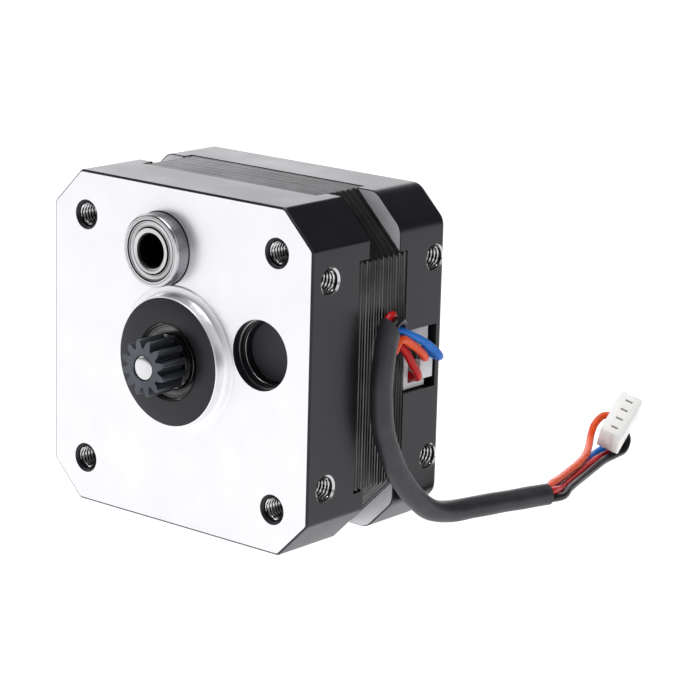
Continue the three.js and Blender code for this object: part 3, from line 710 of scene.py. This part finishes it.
def thread(centre, axis, start, end):
    """The inside surface of a tapped hole: a helical ridge with a flat crest and root."""
    at = axis_frame(centre, axis)
    sides, per_turn = 40, 8
    rows = int((end - start) / THREAD_PITCH * per_turn)
    verts, radii = [], []
    for row in range(rows + 1):
        along = start + THREAD_PITCH * row / per_turn
        for k in range(sides):
            phase = (along / THREAD_PITCH - k / sides) % 1
            depth = 1 - abs(2 * phase - 1)
            radius = THREAD_MINOR + (THREAD_MAJOR - THREAD_MINOR) * min(1, max(0, 1.25 * depth - 0.12))
            verts.append(at(radius, along, TAU * k / sides))
            radii.append(radius)
    faces = [face for row in range(rows) for face in joined(row * sides, (row + 1) * sides, sides)]
    # Faces out at the thread's root take the near-black material, painted shade in its grooves.
    middle = (THREAD_MAJOR + THREAD_MINOR) / 2
    numbers = [0 if sum(radii[v] for v in face) / 4 < middle else 1 for face in faces]
    return add_mesh("thread", verts, faces, [THREAD, THREAD_ROOT_PAINTED_SHADE], numbers, 60)


POCKET = [
    (0, -1), (4.28, -1), (4.28, 0), (4.22, 0.06), (4.22, 1.05), (4.1, 1.08), (4.1, 1.75), (4.04, 1.75),
    (3.84, 1.75), (3.8, 1.8), (3.8, 2.9), (3.72, 3), (0, 3),
]
# The pocket's material after each point: black paint, the bright edge metal (a painted highlight) on its
# ledge edges, and the lighter floor paint (painted light) on its floor.
POCKET_EDGES = [0, 0, 0, 0, 1, 0, 1, 0, 1, 0, 0, 2]
FACE_EDGE = [
    (0, square(20.74, 4.3, 0.6, 5)), (0.05, square(20.88, 4.4, 0.65, 5)), (0.22, square(21, 4.5, 0.7, 5)),
]
LUG_EDGE = [(FRONT_LUG_END - 0.2, square(21, 4.5, 0.7, 5)), (FRONT_LUG_END, square(20.85, 4.42, 0.6, 5))]

front = loft("gear_plate_cap", FACE_EDGE + LUG_EDGE, [PAINT, MACHINED], cap_slots=(1, 0), sharp=25)
front_cutters = [
    core_room(CORE_START, 12),
    # the rotor's room, the boss's hole, the idler bearing's seat and the relief behind it
    rod(ROTOR_ROOM, 4.9, 9, DARK_PAINT),
    rod(5.6, -1, 5.5, DARK_PAINT, segments=64),
    rod(4.62, -1, 2.06, DARK_PAINT, *idler_at, segments=64),
    rod(3.2, -1, 3.5, DARK_PAINT, *idler_at),
    lathe("pocket", POCKET, [DARK_PAINT, POCKET_EDGE_HIGHLIGHT, POCKET_FLOOR_PAINTED_LIGHT], (pocket_at[0], 0, pocket_at[1]),
          segments=96, slots=POCKET_EDGES),
    *[bolt_hole(x, z) for x, z in bolt_places],
    *[side_hole(FRONT_SIDE_HOLES, z, FRONT_SIDE_MOUTH) for z in side_hole_heights],
]
front = cut(front, front_cutters, CAP_SHARP)
piece(front, replaces=["front_cap"])

boss = lathe(
    "gear_plate_boss",
    [
        (4.7, -1.34), (4.7, -1.7), (4.84, -1.84), (7.72, -1.84), (7.84, -1.8), (7.93, -1.68), (7.93, -0.62),
        (7.99, -0.42), (8.16, -0.27), (8.38, -0.23), (8.98, -0.21), (9.1, -0.1), (9.12, 0.3), (5.62, 0.3),
        (5.62, -1.34),
    ],
    [DARK_PAINT, MACHINED], segments=128, slots=[0] * 4 + [1] * 8 + [0] * 3, sharp=35,
)
piece(boss)

# ------------------------------------------------------------------ rear cap

# Each: how far in front of the rear face, and how far inside the cap's outline.
REAR_EDGE = [(0.45, 0.0), (0.2, 0.06), (0.06, 0.2), (0.0, 0.45)]
COUNTERBORE = [(0, 22.5), (2.65, 22.5), (2.65, 24.3), (2.85, 24.5), (2.85, 25), (0, 25)]


def rear_outline(inset):
    """The rear cap's outline, inside itself by inset."""
    return square(BODY / 2 - inset, 3.9, 2.2 - inset, 5)


rear = loft(
    "rear_cap_shell",
    [(REAR_LUG_START, rear_outline(0.12)), (REAR_LUG_START + 0.12, rear_outline(0)),
     *[(BODY_DEPTH - back, rear_outline(inset)) for back, inset in REAR_EDGE]],
    [PAINT, BARE], cap_slots=(1, 0), sharp=25,
)
rear_cutters = [
    core_room(14, CORE_END),
    rod(ROTOR_ROOM, 16, 20.9, DARK_PAINT, segments=64),
    box("window", (16.9, 16.4, -3.6), (22, 23.5, 4.2), DARK_PAINT),
    # the eye that shows the shaft's end
    rod(4, 20, 25, PAINT, segments=64),
    *[rod(BOLT_CLEARANCE, 15, 23, DARK_PAINT, x, z, 32) for x, z in bolt_places],
    *[lathe("counterbore", COUNTERBORE, [PAINT], (x, 0, z), segments=48) for x, z in bolt_places],
    *[side_hole(REAR_SIDE_HOLES, z, REAR_SIDE_MOUTH) for z in side_hole_heights],
]
rear = cut(rear, rear_cutters, CAP_SHARP)
piece(rear, replaces=["rear_cap"])
hub = lathe(
    "rear_bearing_hub",
    [
        (7.4, 20.95), (7.4, 18.2), (7.2, 18), (5.8, 18), (5.6, 18.2), (5.6, 23.4), (4.05, 23.4), (4.05, 24),
        (7.4, 24),
    ],
    [DARK_PAINT], segments=64,
)
piece(hub)

threads = [thread((x, 0, z), (0, 1, 0), 0.3, 4.6) for x, z in bolt_places]
for d in (FRONT_SIDE_HOLES, REAR_SIDE_HOLES):
    threads += [thread((BODY / 2, d, z), (-1, 0, 0), 0.16, 2.7) for z in side_hole_heights]
piece(merge("tapped_threads", threads))

# ------------------------------------------------------------------ stator

POLES = 8
# An opening's bore, the back of its pole shoes, half a shoe's angle, half a neck and the slots' floor.
CORE_OPENING = (11.15, 12.4, math.radians(18), 2.1, 17)
INSULATOR_OPENING = (11.55, 12.6, math.radians(17), 2.3, 16.2)
INSULATOR_DEPTH = 0.7
# The profile of one sheet: how far along, how far inside its outline, and the material after it, where 1 is
# the lighter edge steel, a painted highlight.
SHEET = ((0.04, 0.14, 1), (0.11, 0.02, 0), (0.38, 0.0, 0), (0.45, 0.12, 0))
WINDING_TURNS = 11


def star(bore, shoe, shoe_half, neck, slot):
    """The outline of a core's opening: pole shoes around the bore, with the slots between their necks."""
    points = []
    for pole in range(POLES):
        middle = TAU * pole / POLES
        after = middle + TAU / POLES
        points += [polar(bore, middle + shoe_half * k / 4) for k in range(-4, 5)]
        points += [polar(shoe, middle + shoe_half), polar(shoe, middle + math.asin(neck / shoe))]
        start, end = middle + math.asin(neck / slot), after - math.asin(neck / slot)
        points += [polar(slot, start + (end - start) * k / 6) for k in range(7)]
        points += [polar(shoe, after - math.asin(neck / shoe)), polar(shoe, after - shoe_half)]
    return points


def star_cutter(start, end, opening, material):
    """The cutter for an opening through a core or an insulator."""
    outline = star(*opening)
    return loft("star", [(start, outline), (end, outline)], [material])


def lamination_stack():
    """Stamped sheets with rounded edges in a lighter steel, a painted highlight, so that the stack shows a
    fine line at every joint.

    The sheets don't lie quite true, and every other one has a larger corner.
    """
    pitch = (CORE_END - CORE_START) / LAMINATIONS
    sections, slots = [], []
    for i in range(LAMINATIONS):
        start = CORE_START + i * pitch
        shift = 0.015 * math.sin(2.3 * i) + 0.01 * math.sin(5.1 * i)
        leg = 6.95 + 0.13 * (-1) ** i + 0.06 * math.sin(2.9 * i)
        for at, inset, slot in SHEET:
            sections.append((start + at, square(20.92 + shift - inset, leg - 0.6 * inset, 0.5)))
            slots.append(slot)
    stack = loft("lamination_stack", sections, [LAMINATION, LAMINATION_EDGE_HIGHLIGHT], slots[:-1], sharp=20)
    tools = [star_cutter(8, 18, CORE_OPENING, LAMINATION)]
    tools += [rod(BOLT_CLEARANCE, 8, 18, LAMINATION, x, z, 32) for x, z in bolt_places]
    return cut(stack, tools)


piece(lamination_stack(), replaces=["stator_core"])

for name, start in (("front_insulator", CORE_START - 0.75), ("rear_insulator", CORE_END + 0.05)):
    plate = rod(17.5, start, start + INSULATOR_DEPTH, NATURAL, segments=96)
    opening = star_cutter(start - 1, start + 2, INSULATOR_OPENING, NATURAL)
    piece(bevel(cut(plate, [opening]), 0.1, 1), replaces=[name])


def coil_loop(angle, width, height, corner, radial):
    """One rounded rectangle about a pole, as far from the shaft as radial."""
    turn_to_pole = Matrix.Rotation(angle, 3, "Y")
    middle = Vector((0, (CORE_START + CORE_END) / 2, 0))
    points = []
    for cx, cy, first in ((1, 1, 0), (-1, 1, 90), (-1, -1, 180), (1, -1, 270)):
        for k in range(5):
            across, along = polar(corner, math.radians(first + 22.5 * k))
            local = Vector((cx * (width - corner) + across, cy * (height - corner) + along, radial))
            points.append(place(turn_to_pole @ local + middle))
    return points


def winding(name, pole):
    """A coil: a rounded frame around a pole, with a ridge for every turn of wire."""
    angle = TAU * pole / POLES
    steps = WINDING_TURNS * 4
    rings = [(12.95 + 2.2 * i / steps, 0.07 * math.sin(math.pi * (i % 4) / 4)) for i in range(steps + 1)]
    outer = [coil_loop(angle, 4.5 + bulge, 7.5 + bulge, 1.6, radial) for radial, bulge in rings]
    inner = [coil_loop(angle, 2.5, 5.5, 0.4, radial) for radial, _ in reversed(rings)]
    return closed_loops(name, outer + inner, COPPER, 50)


for pole in range(POLES):
    piece(winding(f"winding_{pole + 1}", pole), replaces=[f"coil_{pole + 1}"])

guide = box("lead_guide", (17.5, 18.3, -3.4), (18.3, 21.5, 4), WHITE)
guide_arms = [
    box("upper_shelf", (17.5, 18.3, 1.6), (20.3, 22.8, 4), WHITE),
    box("lower_shelf", (17.5, 18.3, -3.4), (20.3, 22.3, -2.65), WHITE),
    box("post", (17.5, 18.3, -3.4), (20.3, 19.1, 4), WHITE),
    box("peg", (17.5, 20.6, -2.35), (20.95, 23.05, 0.2), WHITE),
]
guide = bevel(combine(guide, guide_arms, "UNION"), 0.15, 2)
piece(guide, replaces=["lead_block"])

# ------------------------------------------------------------------ bearings


MOTOR_BEARING = {"bore": 2.5, "outer": 5.5, "half": 2.5, "inner_ring": 3.3, "outer_ring": 4.65, "ball": 0.75}
IDLER_BEARING = {"bore": 2.0, "outer": 4.5, "half": 2.0, "inner_ring": 2.75, "outer_ring": 3.8, "ball": 0.6}
BALLS = 7
FRONT_BEARING_AT = 1.2
REAR_BEARING_AT = 20.5


def outer_race_profile(pitch, outer, half, outer_ring, ball):
    """The outer ring's section, with a fine groove in its faces and a raceway for the balls."""
    race = ball + 0.12
    mark = (outer_ring + outer - 0.28) / 2
    return [
        (outer_ring, -half), (mark - 0.03, -half), (mark, -half + 0.05), (mark + 0.03, -half),
        (outer - 0.28, -half), (outer - 0.08, -half + 0.08), (outer, -half + 0.28), (outer, half - 0.28),
        (outer - 0.08, half - 0.08), (outer - 0.28, half), (outer_ring, half), (outer_ring, ball * 0.8),
        (pitch + race * 0.92, ball * 0.4), (pitch + race, 0), (pitch + race * 0.92, -ball * 0.4),
        (outer_ring, -ball * 0.8),
    ]


def ball_at(radius, centre):
    """One ball of a bearing."""
    mesh = bpy.data.meshes.new("ball")
    work = bmesh.new()
    bmesh.ops.create_uvsphere(work, u_segments=24, v_segments=16, radius=radius * MM)
    bmesh.ops.translate(work, verts=work.verts, vec=place(centre))
    work.to_mesh(mesh)
    work.free()
    mesh.materials.append(BRIGHT)
    smooth(mesh, 60)
    ball = bpy.data.objects.new("ball", mesh)
    bpy.context.scene.collection.objects.link(ball)
    return ball


def bearing(prefix, centre, sizes, inner_body, cage_body, looks):
    """A shielded ball bearing: rings with broken edges and raceways, pressed shields with rolled rims.

    looks gives the materials of the rings' faces, of the outer ring's side and of the shields.
    """
    bore, outer, half, inner_ring, outer_ring, ball = sizes.values()
    x, d, z = centre
    pitch = inner_ring + ball + 0.03
    inner_profile = [
        (bore + 0.05, -half + 0.22), (bore + 0.22, -half + 0.04), (bore + 0.3, -half), (inner_ring, -half),
        (inner_ring, half), (bore + 0.3, half), (bore + 0.22, half - 0.04), (bore + 0.05, half - 0.22),
    ]
    faces, side, cover = looks
    ring = lathe(f"{prefix}_outer_race", outer_race_profile(pitch, outer, half, outer_ring, ball),
                 [faces, side, GROOVE], centre, segments=96, slots=[0, 2, 2, 0, 0, 0, 1] + [0] * 9)
    piece(ring, replaces=[f"{prefix}_outer_ring"])
    ring = lathe(f"{prefix}_inner_race", inner_profile, [faces, SHADED_BORE], centre, segments=96,
                 slots=[1, 0, 0, 0, 0, 0, 1, 1])
    piece(ring, inner_body, [f"{prefix}_inner_ring"])
    cage_profile = [(pitch - 0.2, -0.25), (pitch + 0.2, -0.25), (pitch + 0.2, 0.25), (pitch - 0.2, 0.25)]
    parts = [lathe("cage", cage_profile, [BRASS], centre)]
    for k in range(BALLS):
        ball_x, ball_z = polar(pitch, TAU * k / BALLS)
        parts.append(ball_at(ball, (x + ball_x, d, z + ball_z)))
    piece(merge(f"{prefix}_balls", parts), cage_body, [f"{prefix}_ball_cage"])
    width = outer_ring - inner_ring - 0.26
    low = inner_ring + 0.19
    for out, end in ((-1, "front"), (1, "rear")):
        face, back = out * (half - 0.1), out * (half - 0.34)
        shield_profile = [
            (low, back), (low, face - out * 0.06), (low + 0.07 * width, face), (low + 0.16 * width, face),
            (low + 0.22 * width, face - out * 0.07), (low + 0.66 * width, face - out * 0.07),
            (low + 0.72 * width, face), (low + 0.84 * width, face + out * 0.02),
            (low + 0.9 * width, face - out * 0.09), (low + width, face - out * 0.09), (low + width, back),
        ]
        shield = lathe(f"{prefix}_{end}_cover", shield_profile, [cover, GROOVE], centre, segments=96,
                       slots=[0, 0, 0, 1, 0, 1, 0, 1, 1, 0, 0])
        piece(shield, replaces=[f"{prefix}_{end}_shield"])


# The front bearing's outer side and shields take near-black steel: painted shade in the boss's hole.
bearing("front_bearing", (0, FRONT_BEARING_AT, 0), MOTOR_BEARING, "rotor", "front_cage",
        (RING_STEEL, COLLAR_PAINTED_SHADE, TURNED_PAINTED_SHADE))
# The rear and idler bearings' outer sides take the darker ring steel, a painted shade.
bearing("rear_bearing", (0, REAR_BEARING_AT, 0), MOTOR_BEARING, "rotor", "rear_cage",
        (RING_STEEL, RING_SIDE_PAINTED_SHADE, SHIELD))
bearing("idler_bearing", (idler_at[0], 0, idler_at[1]), IDLER_BEARING, "idler_ring", "idler_cage",
        (RING_STEEL, RING_SIDE_PAINTED_SHADE, SHIELD))


def wave_washer():
    """A thin spring ring with three waves."""
    at = axis_frame((0, 23.2, 0), (0, 1, 0))
    sides = 96
    waves = [(0.09 * math.sin(3 * TAU * k / sides), TAU * k / sides) for k in range(sides)]
    section = ((4.2, -0.06), (5.4, -0.06), (5.4, 0.06), (4.2, 0.06))
    loops = [[at(radius, lift + wave, angle) for wave, angle in waves] for radius, lift in section]
    return closed_loops("preload_washer", loops, BRIGHT, 40)


piece(wave_washer(), replaces=["wave_washer"])

# ------------------------------------------------------------------ shaft, pinion and rotor

shaft = lathe(
    "motor_shaft",
    [
        (0, -6.02), (0.5, -6.02), (1.28, -6.0), (1.42, -5.93), (1.5, -5.78), (1.5, -1.3), (2.4, -1.3),
        (2.5, -1.2), (2.5, 23.5), (2.3, 23.75), (0, 23.75),
    ],
    [BRIGHT], segments=64,
)
piece(shaft, "rotor", ["shaft"])


def gear_ring(teeth, phase, flank, top):
    """One closed outline of a gear: flank lists (radius, share of a quarter pitch) from root to tip."""
    quarter = TAU / teeth / 4
    points = []
    for tooth in range(teeth):
        middle = phase + TAU * tooth / teeth
        points += [(min(radius, top), middle - quarter * share) for radius, share in flank]
        points += [(min(radius, top), middle + quarter * share) for radius, share in reversed(flank)]
    return points


def gear(name, teeth, phase, flank, bore, start, end, chamfer, material):
    """A toothed ring with broken edges at its tips and its bore."""
    root, tip = flank[0][0], flank[-1][0]
    at = axis_frame((0, 0, 0), (0, 1, 0))
    plain = gear_ring(teeth, phase, flank, tip)
    small = gear_ring(teeth, phase, flank, tip - chamfer)
    lip = 0.12

    def loop(d, outline):
        return [at(radius, d, math.pi / 2 - angle) for radius, angle in outline]

    def circle(d, radius):
        return loop(d, [(radius, angle) for _, angle in plain])

    loops = [
        loop(start, small), loop(start + chamfer, plain), loop(end - chamfer, plain), loop(end, small),
        circle(end, root * 0.96), circle(end, bore + lip), circle(end - lip, bore), circle(start + lip, bore),
        circle(start, bore + lip), circle(start, root * 0.96),
    ]
    return closed_loops(name, loops, material, 35)


PINION_TEETH = 12
PINION_TURN = math.radians(14)
PINION_FRONT, PINION_BACK = -6.1, -1.85
PINION_FLANK = [
    (2.42, 1.72), (2.46, 1.52), (2.58, 1.38), (2.75, 1.24), (2.95, 1.06), (3.12, 0.88), (3.26, 0.68),
    (3.38, 0.5), (3.46, 0.32), (3.5, 0.12),
]
ROTOR_FLANK = [(10.55, 1.1), (10.6, 0.98), (10.95, 0.9), (11.0, 0.8)]
ROTOR_TEETH = 50
CUP_LENGTH = 3.6
SHAFT_HUG = 2.6

pinion = gear("drive_pinion", PINION_TEETH, PINION_TURN, PINION_FLANK, 1.55, PINION_FRONT, PINION_BACK, 0.14,
              GEAR_STEEL)
piece(pinion, "rotor", ["pinion"])
# The collar's near-black steel is painted shade in the boss's hole.
collar_profile = [(1.6, -1.8), (2.95, -1.8), (3.1, -1.68), (3.1, -1.35), (1.6, -1.35)]
collar = lathe("pinion_spacer", collar_profile, [COLLAR_PAINTED_SHADE], segments=64)
piece(collar, "rotor", ["pinion_collar"])

# The rear cup's teeth stand half a pitch behind the front cup's.
for end, phase, start in (("front", 0, 8.4), ("rear", TAU / ROTOR_TEETH / 2, 13.8)):
    cup = gear(f"{end}_rotor_disc", ROTOR_TEETH, phase, ROTOR_FLANK, SHAFT_HUG, start, start + CUP_LENGTH,
               0.05, CORE_STEEL)
    piece(cup, "rotor", [f"{end}_rotor_cup"])
magnet_profile = [
    (SHAFT_HUG, 12.05), (10.05, 12.05), (10.2, 12.2), (10.2, 13.6), (10.05, 13.75), (SHAFT_HUG, 13.75),
]
magnet = lathe("rotor_magnet_ring", magnet_profile, [MAGNET], segments=96)
piece(magnet, "rotor", ["rotor_magnet"])
for name, start, end in (("front_spacer", 3.8, 8.3), ("rear_spacer", 17.5, 17.9)):
    profile = [
        (SHAFT_HUG, start), (3.3, start), (3.4, start + 0.1), (3.4, end - 0.1), (3.3, end), (SHAFT_HUG, end),
    ]
    spacer = lathe(f"{name}_sleeve", profile, [BRASS], segments=64)
    piece(spacer, "rotor", [name])

# ------------------------------------------------------------------ long screws

SCREW = [
    (0, 5.2), (1.1, 5.2), (1.42, 5.6), (1.42, 22.55), (2.3, 22.55), (2.48, 22.72), (2.48, 23.3), (2.3, 23.7),
    (1.7, 23.95), (0.9, 24.04), (0, 24.05),
]
RECESS_LENGTH, RECESS_WIDTH = 1.25, 0.28

for i, (x, z) in enumerate(bolt_places):
    screw = lathe("screw", SCREW, [SCREW_STEEL], (x, 0, z), segments=48)
    recess = [
        box("recess", (x - across, 23.2, z - up), (x + across, 25, z + up), SCREW_STEEL)
        for across, up in ((RECESS_LENGTH, RECESS_WIDTH), (RECESS_WIDTH, RECESS_LENGTH))
    ]
    piece(cut(screw, recess), replaces=[f"long_screw_{i + 1}"]).name = f"through_screw_{i + 1}"

# ------------------------------------------------------------------ studio

WORLD_COLOUR = (0.97, 0.96, 1)
WORLD_STRENGTH = 0.12
FLOOR_SIZE = 8
LIT_POINT = (0, 0, 0.02)
LAMP_COLOUR = (0.98, 0.97, 1.0)

floor_material = Nodes("studio_floor")
paper = floor_material.ramp(floor_material.noise(400, 1), (1.08, 1.078, 1.11), (1.1, 1.098, 1.13))
floor_material.set(Base_Color=colour(0.12), Roughness=0.9, Emission_Color=paper, Emission_Strength=1.0)
bpy.ops.mesh.primitive_plane_add(size=FLOOR_SIZE, location=(0, 0, 0))
floor = bpy.context.object
floor.name = "floor"
floor.data.materials.append(floor_material.material)

bpy.context.scene.view_settings.view_transform = "Standard"
world = bpy.data.worlds.new("studio")
bpy.context.scene.world = world
world.use_nodes = True
background = world.node_tree.nodes["Background"]
background.inputs["Color"].default_value = colour(WORLD_COLOUR)
background.inputs["Strength"].default_value = WORLD_STRENGTH


def area_light(name, at, width, height, radiance):
    """A soft box, which looks as bright as radiance from every side that it faces."""
    data = bpy.data.lights.new(name, "AREA")
    data.shape = "RECTANGLE"
    data.size, data.size_y = width, height
    data.energy = radiance * math.pi * width * height
    data.color = LAMP_COLOUR
    light = bpy.data.objects.new(name, data)
    bpy.context.scene.collection.objects.link(light)
    light.location = at
    light.rotation_euler = (Vector(LIT_POINT) - Vector(at)).to_track_quat("-Z", "Y").to_euler()
    light.visible_camera = False


area_light("overhead", (0.0, -0.05, 0.9), 0.7, 0.7, 4.5)
area_light("left_window", (-0.75, -0.35, 0.45), 0.6, 0.6, 1.6)
area_light("back_panel", (-0.95, 1.15, 0.42), 1.5, 0.7, 2.15)
area_light("right_fill", (0.8, -0.3, 0.4), 0.5, 0.5, 1.0)
